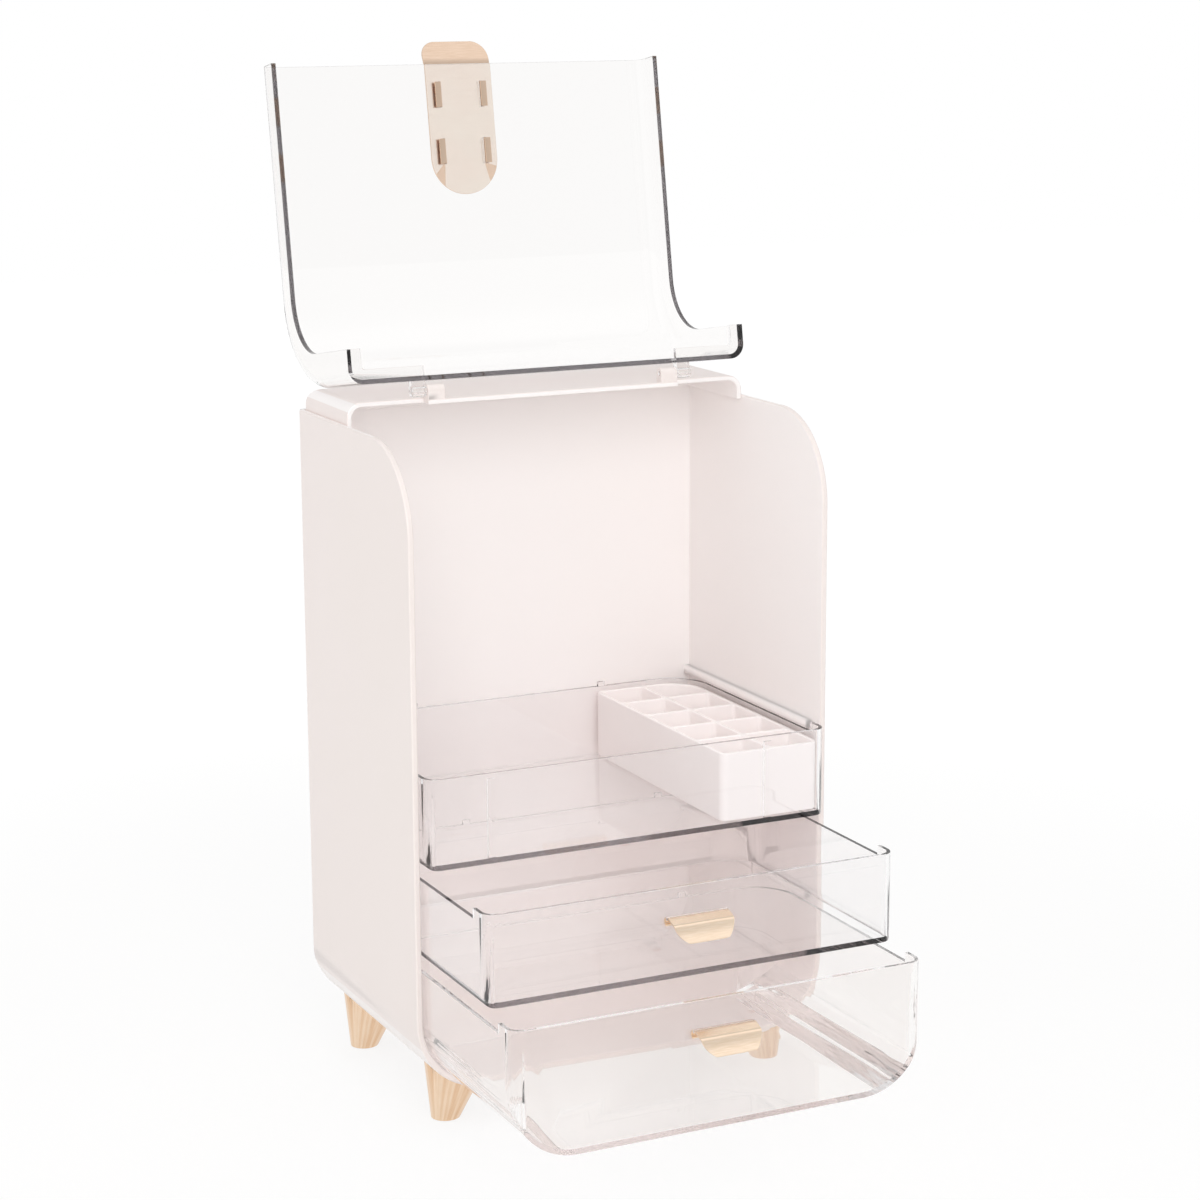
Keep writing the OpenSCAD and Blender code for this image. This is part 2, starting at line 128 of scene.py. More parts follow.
# Clear polystyrene, injection moulded and polished: sharp see-through walls that lose light along their
# length, so that cut edges and floors seen end on go a dark grey violet
def clearPlastic(look):
    material, tree = newMaterial(look["name"])
    place = addNode(tree, "ShaderNodeTexCoord").outputs["Object"]
    smear = addNode(tree, "ShaderNodeTexNoise",
                    {"Vector": place, "Scale": perMetre(look["smearMm"]), "Detail": 3.0}).outputs["Fac"]
    roughness = addNode(tree, "ShaderNodeMapRange",
                        {"Value": smear, "From Min": 0.35, "From Max": 0.7,
                         "To Min": look["roughness"][0], "To Max": look["roughness"][1]}).outputs["Result"]
    flow = addNode(tree, "ShaderNodeTexNoise",
                   {"Vector": place, "Scale": perMetre(look["flowMm"]), "Detail": 1.0}).outputs["Fac"]
    skin = addNode(tree, "ShaderNodeBump",
                   {"Height": flow, "Strength": 1.0, "Distance": look["flowDepthMm"] * mm}).outputs["Normal"]
    glass = addNode(tree, "ShaderNodeBsdfPrincipled",
                    {"Base Color": linearColour(look["colour"]), "Roughness": roughness, "IOR": look["ior"],
                     "Transmission Weight": 1.0, "Normal": skin})
    clear = addNode(tree, "ShaderNodeBsdfTransparent", {"Color": linearColour(look["lampColour"])})
    path = addNode(tree, "ShaderNodeLightPath")
    unseen = addNode(tree, "ShaderNodeMath",  # light on its way to what stands behind goes straight through
                     {0: path.outputs["Is Shadow Ray"], 1: path.outputs["Is Diffuse Ray"]},
                     operation="MAXIMUM").outputs[0]
    surface = addNode(tree, "ShaderNodeMixShader", {0: unseen, 1: glass.outputs[0], 2: clear.outputs[0]})
    inside = addNode(tree, "ShaderNodeVolumeAbsorption",
                     {"Color": linearColour(look["inside"]), "Density": look["densityPerMm"] / mm})
    addNode(tree, "ShaderNodeOutputMaterial",
            {"Surface": surface.outputs[0], "Volume": inside.outputs[0]})
    return material


# Champagne gold on metal: a satin mirror, drawn out along the rolling or polishing direction. The real lines
# are finer, and these are drawn as coarse as they need to show
def champagneMetal(look):
    material, tree = newMaterial(look["name"])
    place = addNode(tree, "ShaderNodeTexCoord").outputs["Object"]
    if look.get("turned"):  # the lines follow a turned piece, whichever way its axis leans
        place = addNode(tree, "ShaderNodeAttribute", attribute_name="roundTheAxis").outputs["Vector"]
    drawn = addNode(tree, "ShaderNodeMapping", {"Vector": place, "Scale": look["drawn"]}).outputs["Vector"]
    lines = addNode(tree, "ShaderNodeTexNoise",
                    {"Vector": drawn, "Scale": perMetre(look["lineMm"]), "Detail": 3.0}).outputs["Fac"]
    cloud = addNode(tree, "ShaderNodeTexNoise",
                    {"Vector": place, "Scale": perMetre(look["cloudMm"]), "Detail": 2.0}).outputs["Fac"]
    tone = addNode(tree, "ShaderNodeMix",
                   {0: cloud, 6: linearColour(look["colour"]), 7: linearColour(look["cloudColour"])},
                   data_type="RGBA").outputs[2]
    # Light and dark streak colour along the lines: grain on the sheets, painted reflection streaks on the
    # feet
    grainAndReflectionShare = addNode(tree, "ShaderNodeMapRange",
                     {"Value": lines, "From Min": 0.35, "From Max": 0.65,
                      "To Max": look["grainAndReflectionStreaks"]}).outputs["Result"]
    colour = addNode(tree, "ShaderNodeMix", {0: grainAndReflectionShare, 6: tone, 7: linearColour(look["grainAndReflectionColour"])},
                     data_type="RGBA").outputs[2]
    roughness = addNode(tree, "ShaderNodeMapRange",
                        {"Value": lines, "From Min": 0.3, "From Max": 0.7,
                         "To Min": look["roughness"][0], "To Max": look["roughness"][1]}).outputs["Result"]
    skin = addNode(tree, "ShaderNodeBump",
                   {"Height": lines, "Strength": 1.0, "Distance": look["lineDepthMm"] * mm}).outputs["Normal"]
    metal = addNode(tree, "ShaderNodeBsdfPrincipled",
                    {"Base Color": colour, "Metallic": 1.0, "Roughness": roughness, "Normal": skin})
    addNode(tree, "ShaderNodeOutputMaterial", {"Surface": metal.outputs[0]})
    return material


# The shell's outside, from a polished mould: pale pink with a soft, clear shine
pinkAbs = mouldedPlastic({
    "name": "gloss pink ABS", "colour": "#f1e7e4", "driftColour": "#efe6e1", "driftMm": 70, "ior": 1.53,
    "hazeMm": 30, "roughness": (0.285, 0.325), "sinkMm": 45, "sinkDepthMm": 0.02,
    "grainMm": 1.5, "grainDepthMm": 0.0004,
})
# The shell's inside, from a satin mould: a wide, quiet sheen, and painted lighter to lift the shade inside
satinPaintedLightAbs = mouldedPlastic({
    "name": "satin pink ABS painted lighter", "colour": "#fbf7f6", "driftColour": "#faf6f4", "driftMm": 70, "ior": 1.53,
    "hazeMm": 30, "roughness": (0.36, 0.42), "sinkMm": 45, "sinkDepthMm": 0.02,
    "grainMm": 1.5, "grainDepthMm": 0.0004,
})
# The loose holder: nearly white with a hint of pink, satin, with a slightly livelier skin
holderAbs = mouldedPlastic({
    "name": "satin pink holder", "colour": "#fffbfa", "driftColour": "#fef9f8", "driftMm": 40, "ior": 1.53,
    "hazeMm": 9, "roughness": (0.34, 0.44), "sinkMm": 20, "sinkDepthMm": 0.02,
    "grainMm": 1.0, "grainDepthMm": 0.001,
})
# Soft silicone: mid grey and dull, so that the pads stay unseen in the shadow
padSilicone = mouldedPlastic({
    "name": "grey silicone", "colour": "#8f8a87", "driftColour": "#86817e", "driftMm": 6, "ior": 1.41,
    "hazeMm": 3, "roughness": (0.55, 0.7), "sinkMm": 4, "sinkDepthMm": 0.02,
    "grainMm": 0.5, "grainDepthMm": 0.01,
})
# The tray and the middle drawer: clear faces, grey violet where a wall or floor is seen edge on
clearStyrene = clearPlastic({
    "name": "clear polystyrene", "colour": "#ffffff", "lampColour": "#fefdfd", "inside": "#7c7078",
    "densityPerMm": 0.009, "ior": 1.55, "smearMm": 25, "roughness": (0.0, 0.02),
    "flowMm": 30, "flowDepthMm": 0.008,
})
# The lid: the same plastic a shade clearer, so that its large panel all but vanishes
lidStyrene = clearPlastic({
    "name": "clearer polystyrene of the lid", "colour": "#fefdfc", "lampColour": "#fefdfd",
    "inside": "#7c7078", "densityPerMm": 0.008, "ior": 1.55, "smearMm": 25, "roughness": (0.0, 0.02),
    "flowMm": 30, "flowDepthMm": 0.008,
})
# The bottom drawer: a water clear batch, whose edges stay pale
waterStyrene = clearPlastic({
    "name": "water clear polystyrene", "colour": "#fdfcfb", "lampColour": "#fefdfd", "inside": "#a09aa0",
    "densityPerMm": 0.0006, "ior": 1.55, "smearMm": 25, "roughness": (0.0, 0.02),
    "flowMm": 30, "flowDepthMm": 0.008,
})
# The handle's sheet: rosy champagne with rolling lines across it
goldSheet = champagneMetal({
    "name": "champagne anodised sheet", "colour": "#ebd2bd", "cloudColour": "#e8cdb6", "cloudMm": 12,
    "drawn": (0.08, 1, 1), "lineMm": 0.5, "lineDepthMm": 0.0002, "roughness": (0.16, 0.24),
    "grainAndReflectionStreaks": 0.25, "grainAndReflectionColour": "#dbb99c",
})
# The pulls: gold painted lighter and yellower, as painted light that keeps them bright behind clear walls
paintedLightPullGold = champagneMetal({
    "name": "champagne anodised pull painted brighter", "colour": "#f9e5cf", "cloudColour": "#f7e0c8", "cloudMm": 12,
    "drawn": (0.08, 1, 1), "lineMm": 0.5, "lineDepthMm": 0.0002, "roughness": (0.16, 0.24),
    "grainAndReflectionStreaks": 0.25, "grainAndReflectionColour": "#e9caa9",
})
# The sheet's face against the lid: nearly silver with a breath of gold
goldBack = champagneMetal({
    "name": "pale back of the anodised sheet", "colour": "#f8e9df", "cloudColour": "#f9f3e9", "cloudMm": 34,
    "drawn": (0.08, 1, 1), "lineMm": 0.8, "lineDepthMm": 0.0001, "roughness": (0.2, 0.26),
    "grainAndReflectionStreaks": 0.12, "grainAndReflectionColour": "#ecd9c8",
})
# The feet, turned and plated: long painted light and dark reflection streaks down the cone
goldFeet = champagneMetal({
    "name": "champagne plated feet", "colour": "#f1dac0", "cloudColour": "#edd1b5", "cloudMm": 9,
    "turned": True, "drawn": (1, 1, 0.05), "lineMm": 2.2, "lineDepthMm": 0.001, "roughness": (0.1, 0.2),
    "grainAndReflectionStreaks": 0.6, "grainAndReflectionColour": "#d8a97e",
})
# Lacquer on the screws: it levels out like moulded plastic, in the shell's own pink
screwPaint = mouldedPlastic({
    "name": "pink lacquered steel", "colour": "#f3eae7", "driftColour": "#f1e6e2", "driftMm": 3, "ior": 1.5,
    "hazeMm": 1, "roughness": (0.32, 0.42), "sinkMm": 2, "sinkDepthMm": 0.01,
    "grainMm": 0.3, "grainDepthMm": 0.002,
})
print("materials made")

edgeRule = {"mergeMm": 0.001, "flatDegrees": 1, "sharpDegrees": 30, "shortestMm": 0.1, "creaseDegrees": 40}


# A copy of a CAD node, or of the mesh that stands in for it, with its sharp edges rounded to catch the light.
# An ease says how much, in how many steps and where
def easedCopy(node, name, look, ease, adjust=None, start=None):
    form = bmesh.new()
    form.from_mesh(start or frame["nodes"][node].data)
    bmesh.ops.remove_doubles(form, verts=form.verts[:], dist=edgeRule["mergeMm"] * mm)
    if adjust:
        adjust(form)
    bmesh.ops.dissolve_limit(form, angle_limit=math.radians(edgeRule["flatDegrees"]),
                             verts=form.verts[:], edges=form.edges[:])
    isEased = ease.get("where", lambda p: True)
    sharp = math.radians(edgeRule["sharpDegrees"])
    edges = [e for e in form.edges if len(e.link_faces) == 2 and e.calc_face_angle() > sharp
             and e.is_convex and e.calc_length() > edgeRule["shortestMm"] * mm
             and isEased((e.verts[0].co + e.verts[1].co) * 0.5 / mm)]
    if edges:
        bmesh.ops.bevel(form, geom=edges, offset=ease["roundMm"] * mm, offset_type="OFFSET",
                        segments=ease.get("steps", 2), profile=0.5, affect="EDGES",
                        clamp_overlap=False, miter_outer="SHARP", miter_inner="SHARP")
    mesh = bpy.data.meshes.new(name)
    form.to_mesh(mesh)
    form.free()
    mesh.shade_smooth()
    mesh.set_sharp_from_angle(angle=math.radians(edgeRule["creaseDegrees"]))
    piece = bpy.data.objects.new(name, mesh)
    bpy.context.scene.collection.objects.link(piece)
    mesh.materials.append(look)
    even = piece.modifiers.new("even shading", "WEIGHTED_NORMAL")
    even.keep_sharp = True
    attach(piece, bodyOf[node])
    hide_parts(node)
    return piece


# An empty Geometry Nodes tree with its named inputs, and those inputs as sockets to link from
def newGrowth(name, inputs):
    tree = bpy.data.node_groups.new(name, "GeometryNodeTree")
    tree.interface.new_socket("Geometry", in_out="OUTPUT", socket_type="NodeSocketGeometry")
    for kind, titles in inputs.items():
        for title in titles:
            tree.interface.new_socket(title, in_out="INPUT", socket_type="NodeSocket" + kind)
    return tree, addNode(tree, "NodeGroupInput").outputs


# The tree's result as a plain mesh on an object of its own
def grown(name, tree, values):
    source = bpy.data.objects.new(name + " source", bpy.data.meshes.new(name + " source"))
    bpy.context.scene.collection.objects.link(source)
    growth = source.modifiers.new("growth", "NODES")
    growth.node_group = tree
    for item in tree.interface.items_tree:
        if item.item_type == "SOCKET" and item.in_out == "INPUT" and item.name in values:
            growth[item.identifier] = values[item.name]
    ready = source.evaluated_get(bpy.context.evaluated_depsgraph_get())
    mesh = bpy.data.meshes.new_from_object(ready)
    mesh.name = name
    bpy.data.objects.remove(source)
    piece = bpy.data.objects.new(name, mesh)
    bpy.context.scene.collection.objects.link(piece)
    return piece


shell = {"wall": 3.2, "shoulder": 46, "rimRound": 0.9, "near": 0.5, "polishedRim": 0.6, "satinFrom": 3,
         "spare": 0.1}
shellLow, shellHigh = (Vector(corner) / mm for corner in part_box("housing"))


# The rims of the walls: the front and top edges with the shoulder between them, and the outer back edges
def onRims(p):
    shoulder = Vector((p.y - shellLow.y - shell["shoulder"], p.z - shellHigh.z + shell["shoulder"]))
    onShoulder = shoulder.x < 0 < shoulder.y and shoulder.length > shell["shoulder"] - 2 * shell["near"]
    onTop = p.z > shellHigh.z - shell["near"] and p.y < shellHigh.y - 2 * shell["near"]
    return (onShoulder or onTop or p.y < shellLow.y + shell["near"] or p.y > shellHigh.y - shell["near"]
            or abs(p.x) > shellHigh.x - shell["near"])


# The inner faces came off a satin mould half, the outer ones off a polished one
# The satin faces are painted lighter too: painted light against the shade inside the shell and under the deck
def satinAndPaintedLightInside(piece, isInside):
    piece.data.materials.append(satinPaintedLightAbs)
    for face in piece.data.polygons:
        if isInside(face.center / mm, face.normal):
            face.material_index = 1


def insideShell(at, normal):
    side, rear = shellHigh.x - shell["wall"] + shell["spare"], shellHigh.y - shell["wall"] + shell["spare"]
    front, bottom = shellLow.y + shell["polishedRim"], shellLow.z + shell["satinFrom"]
    return abs(at.x) < side and front < at.y < rear and at.z > bottom


housing = easedCopy("housing", "pinkHousing", pinkAbs,
                    {"roundMm": shell["rimRound"], "steps": 3, "where": onRims})
satinAndPaintedLightInside(housing, insideShell)

deck = {"round": 0.5, "innerX": 111.8, "rearY": 70, "undersideZ": 359, "facesDown": -0.5}


# The deck's underside and its faces between the skirts are painted lighter: painted light in their shade
def underDeck(at, normal):
    isBetweenSkirts = abs(at.x) < deck["innerX"] and at.y < deck["rearY"]
    return normal.z < deck["facesDown"] or (isBetweenSkirts and at.z < deck["undersideZ"])


satinAndPaintedLightInside(easedCopy("rear_deck", "pinkDeck", pinkAbs, {"roundMm": deck["round"]}), underDeck)

holder = {"wall": 2.2, "floor": 3, "cellRadius": 2, "rearRadius": 20, "columns": 2, "rows": 5,
          "cornerSteps": 6, "rearSteps": 24, "round": 0.7}


# What a plan filled in and raised by a height encloses
def raised(tree, plan, height):
    base = addNode(tree, "GeometryNodeFillCurve", {"Curve": plan}, mode="NGONS").outputs[0]
    walls = addNode(tree, "GeometryNodeExtrudeMesh",
                    {"Mesh": base, "Offset Scale": height, "Individual": False}).outputs["Mesh"]
    under = addNode(tree, "GeometryNodeFlipFaces", {"Mesh": base}).outputs[0]
    both = addNode(tree, "GeometryNodeJoinGeometry", {0: [under, walls]}).outputs[0]
    return addNode(tree, "GeometryNodeMergeByDistance",
                   {"Geometry": both, "Distance": edgeRule["mergeMm"] * mm}).outputs[0]


# The lipstick block by its rule: a rounded plan raised, less a grid of cells. The cell at the far right
# follows the block's large rear radius. No face of a cell lies in a face of the block
def cellTree():
    tree, sizes = newGrowth("cells in a block", {
        "Vector": ("Size", "Base Centre"), "Float": ("Wall", "Floor", "Cell Radius", "Rear Radius"),
        "Int": ("Columns", "Rows"), "Material": ("Finish",)})
    wall, cellRadius, rearRadius = sizes["Wall"], sizes["Cell Radius"], sizes["Rear Radius"]
    index = addNode(tree, "GeometryNodeInputIndex").outputs[0]
    isFirst = addNode(tree, "ShaderNodeMath", {0: index, 1: 0.0}, operation="COMPARE").outputs[0]
    steps = addNode(tree, "GeometryNodeSwitch",
                    {"Switch": isFirst, "False": holder["cornerSteps"], "True": holder["rearSteps"]},
                    input_type="INT").outputs[0]

    def plan(size, sideRadius, firstRadius):  # the first corner of a rectangle is its far right one
        span = addNode(tree, "ShaderNodeSeparateXYZ", {0: size}).outputs
        outline = addNode(tree, "GeometryNodeCurvePrimitiveQuadrilateral",
                          {"Width": span["X"], "Height": span["Y"]}).outputs[0]
        radius = addNode(tree, "GeometryNodeSwitch",
                         {"Switch": isFirst, "False": sideRadius, "True": firstRadius},
                         input_type="FLOAT").outputs[0]
        return addNode(tree, "GeometryNodeFilletCurve",
                       {"Curve": outline, "Radius": radius, "Count": steps}, mode="POLY").outputs[0]

    # Walls stand between the cells and round them, so the size less one wall is a whole number of pitches
    pitches = addNode(tree, "ShaderNodeVectorMath", {0: sizes["Size"], 1: wall},
                      operation="SUBTRACT").outputs[0]
    counts = addNode(tree, "ShaderNodeCombineXYZ",
                     {"X": sizes["Columns"], "Y": sizes["Rows"], "Z": 1.0}).outputs[0]
    pitch = addNode(tree, "ShaderNodeVectorMath", {0: pitches, 1: counts}, operation="DIVIDE").outputs[0]
    cellSize = addNode(tree, "ShaderNodeVectorMath", {0: pitch, 1: wall}, operation="SUBTRACT").outputs[0]
    spread = addNode(tree, "ShaderNodeVectorMath", {0: pitches, 1: pitch}, operation="SUBTRACT").outputs[0]
    outerRadius = addNode(tree, "ShaderNodeMath", {0: cellRadius, 1: wall}, operation="ADD").outputs[0]
    innerRadius = addNode(tree, "ShaderNodeMath", {0: rearRadius, 1: wall}, operation="SUBTRACT").outputs[0]
    height = addNode(tree, "ShaderNodeSeparateXYZ", {0: sizes["Size"]}).outputs["Z"]
    block = raised(tree, plan(sizes["Size"], outerRadius, rearRadius), height)
    cell = raised(tree, plan(cellSize, cellRadius, cellRadius), height)
    rearCell = raised(tree, plan(cellSize, cellRadius, innerRadius), height)

    gridSpan = addNode(tree, "ShaderNodeSeparateXYZ", {0: spread}).outputs
    grid = addNode(tree, "GeometryNodeMeshGrid",
                   {"Size X": gridSpan["X"], "Size Y": gridSpan["Y"],
                    "Vertices X": sizes["Columns"], "Vertices Y": sizes["Rows"]}).outputs["Mesh"]
    cellCount = addNode(tree, "ShaderNodeMath", {0: sizes["Columns"], 1: sizes["Rows"]},
                        operation="MULTIPLY").outputs[0]
    lastIndex = addNode(tree, "ShaderNodeMath", {0: cellCount, 1: 1.0}, operation="SUBTRACT").outputs[0]
    isLast = addNode(tree, "ShaderNodeMath", {0: index, 1: lastIndex}, operation="COMPARE").outputs[0]
    isOther = addNode(tree, "FunctionNodeBooleanMath", {0: isLast}, operation="NOT").outputs[0]
    plainCells = addNode(tree, "GeometryNodeInstanceOnPoints",
                         {"Points": grid, "Selection": isOther, "Instance": cell}).outputs[0]
    lastCell = addNode(tree, "GeometryNodeInstanceOnPoints",
                       {"Points": grid, "Selection": isLast, "Instance": rearCell}).outputs[0]
    copies = addNode(tree, "GeometryNodeJoinGeometry", {0: [plainCells, lastCell]}).outputs[0]
    cells = addNode(tree, "GeometryNodeRealizeInstances", {"Geometry": copies}).outputs[0]
    overFloor = addNode(tree, "ShaderNodeCombineXYZ", {"Z": sizes["Floor"]}).outputs[0]
    lifted = addNode(tree, "GeometryNodeTransform", {"Geometry": cells, "Translation": overFloor}).outputs[0]
    cut = addNode(tree, "GeometryNodeMeshBoolean", {"Mesh 1": block, "Mesh 2": lifted},
                  operation="DIFFERENCE", solver="EXACT").outputs["Mesh"]
    placed = addNode(tree, "GeometryNodeTransform",
                     {"Geometry": cut, "Translation": sizes["Base Centre"]}).outputs[0]
    real = addNode(tree, "GeometryNodeRealizeInstances", {"Geometry": placed}).outputs[0]
    finish = addNode(tree, "GeometryNodeSetMaterial", {"Geometry": real, "Material": sizes["Finish"]})
    addNode(tree, "NodeGroupOutput", {"Geometry": finish.outputs[0]})
    return tree


blockLow, blockHigh = (Vector(corner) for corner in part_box("lipstick_holder"))
block = grown("lipstick block", cellTree(), {
    "Size": blockHigh - blockLow, "Base Centre": (*((blockLow + blockHigh) / 2).xy, blockLow.z),
    "Wall": holder["wall"] * mm, "Floor": holder["floor"] * mm, "Cell Radius": holder["cellRadius"] * mm,
    "Rear Radius": holder["rearRadius"] * mm, "Columns": holder["columns"], "Rows": holder["rows"],
    "Finish": holderAbs})
easedCopy("lipstick_holder", "lipstickHolder", holderAbs,
          {"roundMm": holder["round"], "steps": 3}, start=block.data)
bpy.data.objects.remove(block)
print("pink pieces made")

lid = {"round": 0.1}
easedCopy("lid", "clearLid", lidStyrene, {"roundMm": lid["round"], "steps": 1})

boxes = {"rimRound": 0.15, "rimDepth": 0.5}


# Only a box's rim is eased. The rest of its polished walls keeps sharp edges
def clearBox(node, name, look):
    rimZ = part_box(node)[1][2] / mm - boxes["rimDepth"]
    easedCopy(node, name, look,
              {"roundMm": boxes["rimRound"], "steps": 1, "where": lambda p: p.z > rimZ})


clearBox("upper_tray", "clearTray", clearStyrene)
clearBox("middle_drawer", "clearMiddleDrawer", clearStyrene)
clearBox("bottom_drawer", "clearBottomDrawer", waterStyrene)
print("clear pieces made")

handle = {"round": 0.15, "lidWall": 2.5, "lidGap": 0.06, "touching": 0.02,
          "backFacing": 0.95, "backNear": 0.2, "backOver": 100}
lidHinge = next(joint for joint in frame["joints"] if joint["name"] == "lid_hinge")
hingeAt = Vector(lidHinge["pos_m"])
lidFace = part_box("upper_tray")[0][1]  # closed, the lid's front is flush with the tray's
shutTurn = Matrix.Rotation(math.radians(lidHinge["range_deg"][0]), 4, Vector(lidHinge["axis"]))
shutLid = Matrix.Translation(hingeAt) @ shutTurn @ Matrix.Translation(-hingeAt)


# The handle's sheet stands a hair off the lid on both faces, so that the two surfaces never share a plane
def openContact(form):
    lidBack, touching = lidFace + handle["lidWall"] * mm, handle["touching"] * mm
    for vert in form.verts:
        shut = shutLid @ vert.co
        if abs(shut.y - lidFace) < touching:
            shut.y -= handle["lidGap"] * mm
        elif abs(shut.y - lidBack) < touching:
            shut.y += handle["lidGap"] * mm
        vert.co = shutLid.inverted() @ shut


# The side that lies against the lid takes the paler, nearly silver gold
def paleBack(piece):
    piece.data.materials.append(goldBack)
    for face in piece.data.polygons:
        facesLid = (shutTurn @ face.normal).y > handle["backFacing"]
        isOnLid = abs((shutLid @ face.center).y - lidFace) < handle["backNear"] * mm
        if facesLid and isOnLid and face.area > handle["backOver"] * mm * mm:
            face.material_index = 1


paleBack(easedCopy("lid_handle", "goldHandle", goldSheet,
                   {"roundMm": handle["round"]}, openContact))

pulls = {"round": 0.15}
# The pulls wear the gold painted lighter, as painted light
easedCopy("middle_pull", "goldMiddlePull", paintedLightPullGold, {"roundMm": pulls["round"]})
easedCopy("bottom_pull", "goldBottomPull", paintedLightPullGold, {"roundMm": pulls["round"]})

feet = {"x": 93, "y": {"front": -53, "rear": 60}, "lean": 12, "round": 0.3, "rimUnder": 1, "linesRound": 12}
pads = {"round": 0.25}


# Each point keeps its bearing round its foot's own leaning axis, for painted reflection streaks down the cone
def turnedFoot(piece, sideX, footY):
    lines = piece.data.attributes.new("roundTheAxis", "FLOAT_VECTOR", "POINT")
    for vert in piece.data.vertices:
        at = vert.co / mm
        axisX = sideX * (feet["x"] - at.z * math.tan(math.radians(feet["lean"])))
        bearing = math.atan2(at.y - footY, at.x - axisX)
        lines.data[vert.index].vector = mm * Vector((math.cos(bearing) * feet["linesRound"],
                                                     math.sin(bearing) * feet["linesRound"], at.z))


for end, footY in feet["y"].items():
    for side, sideX in (("left", -1), ("right", 1)):
        place = end + "_" + side
        foot = easedCopy("foot_" + place, "goldFoot_" + place, goldFeet,
                         {"roundMm": feet["round"], "where": lambda p: p.z < feet["rimUnder"]})
        turnedFoot(foot, sideX, footY)
        easedCopy("foot_pad_" + place, "softPad_" + place, padSilicone,
                  {"roundMm": pads["round"]})

pins = {"round": 0.2, "slimTo": 0.96}


# A pin a little slimmer than its bore, so that the two surfaces never share a place
def slimPin(form):
    for vert in form.verts:
        for axis in (1, 2):
            vert.co[axis] = hingeAt[axis] + (vert.co[axis] - hingeAt[axis]) * pins["slimTo"]


for side in ("left", "right"):
    easedCopy("hinge_pin_" + side, "hingePin_" + side, clearStyrene,
              {"roundMm": pins["round"]}, slimPin)
print("handle, pulls, feet, pads and pins made")

screws = {"headRadius": 3, "headHeight": 1.2, "headSides": 40, "shankRadius": 1.4, "shankLength": 8,
          "shankSides": 28, "crossLength": 3.2, "crossWidth": 0.7, "crossDepth": 0.7}


# Cross-recessed pan screws, one over each foot: a screw is put together once and set on a two by two grid
def screwTree():
    tree, sizes = newGrowth("screws on a grid", {
        "Float": ("Head Radius", "Head Height", "Shank Radius", "Shank Length",
                  "Cross Length", "Cross Width", "Cross Depth", "Grid X", "Grid Y"),
        "Vector": ("Grid Centre",), "Material": ("Finish",)})
    rods = []  # the head stands on its seat, and the shank hangs under it, a hair into the head
    for radius, length, sides, rise in (("Head Radius", "Head Height", screws["headSides"], 0.5),
                                        ("Shank Radius", "Shank Length", screws["shankSides"], -0.499)):
        rod = addNode(tree, "GeometryNodeMeshCylinder",
                      {"Vertices": sides, "Radius": sizes[radius], "Depth": sizes[length]}).outputs["Mesh"]
        centre = addNode(tree, "ShaderNodeVectorMath", {0: sizes[length], 1: (0, 0, rise)},
                         operation="MULTIPLY").outputs[0]
        placed = addNode(tree, "GeometryNodeTransform", {"Geometry": rod, "Translation": centre})
        rods.append(placed.outputs[0])
    whole = addNode(tree, "GeometryNodeMeshBoolean", {"Mesh": rods}, operation="UNION").outputs["Mesh"]

    arms = []  # each arm of the recess is centred on the head's top, so half of its depth cuts
    top = addNode(tree, "ShaderNodeCombineXYZ", {"Z": sizes["Head Height"]}).outputs[0]
    twiceDepth = addNode(tree, "ShaderNodeMath", {0: sizes["Cross Depth"], 1: 2.0},
                         operation="MULTIPLY").outputs[0]
    for alongX, alongY in (("Cross Length", "Cross Width"), ("Cross Width", "Cross Length")):
        size = addNode(tree, "ShaderNodeCombineXYZ",
                       {"X": sizes[alongX], "Y": sizes[alongY], "Z": twiceDepth}).outputs[0]
        arm = addNode(tree, "GeometryNodeMeshCube", {"Size": size}).outputs["Mesh"]
        placed = addNode(tree, "GeometryNodeTransform", {"Geometry": arm, "Translation": top})
        arms.append(placed.outputs[0])
    screw = addNode(tree, "GeometryNodeMeshBoolean", {"Mesh 1": whole, "Mesh 2": arms},
                    operation="DIFFERENCE").outputs["Mesh"]

    grid = addNode(tree, "GeometryNodeMeshGrid",
                   {"Size X": sizes["Grid X"], "Size Y": sizes["Grid Y"],
                    "Vertices X": 2, "Vertices Y": 2}).outputs["Mesh"]
    places = addNode(tree, "GeometryNodeTransform",
                     {"Geometry": grid, "Translation": sizes["Grid Centre"]}).outputs[0]
    copies = addNode(tree, "GeometryNodeInstanceOnPoints", {"Points": places, "Instance": screw}).outputs[0]
    real = addNode(tree, "GeometryNodeRealizeInstances", {"Geometry": copies}).outputs[0]
    finish = addNode(tree, "GeometryNodeSetMaterial", {"Geometry": real, "Material": sizes["Finish"]})
    addNode(tree, "NodeGroupOutput", {"Geometry": finish.outputs[0]})
    return tree


screwsLow, screwsHigh = (Vector(corner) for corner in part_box("foot_screws"))
screwGrid = screwsHigh - screwsLow - Vector((2, 2, 0)) * screws["headRadius"] * mm
seatZ = screwsHigh.z - screws["headHeight"] * mm
fixings = grown("footScrews", screwTree(), {
    "Head Radius": screws["headRadius"] * mm, "Head Height": screws["headHeight"] * mm,
    "Shank Radius": screws["shankRadius"] * mm, "Shank Length": screws["shankLength"] * mm,
    "Cross Length": screws["crossLength"] * mm, "Cross Width": screws["crossWidth"] * mm,
    "Cross Depth": screws["crossDepth"] * mm, "Grid X": screwGrid.x, "Grid Y": screwGrid.y,
    "Grid Centre": (*((screwsLow + screwsHigh) / 2).xy, seatZ), "Finish": screwPaint})
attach(fixings, bodyOf["foot_screws"])
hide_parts("foot_screws")
print("screws made:", len(fixings.data.polygons), "faces")

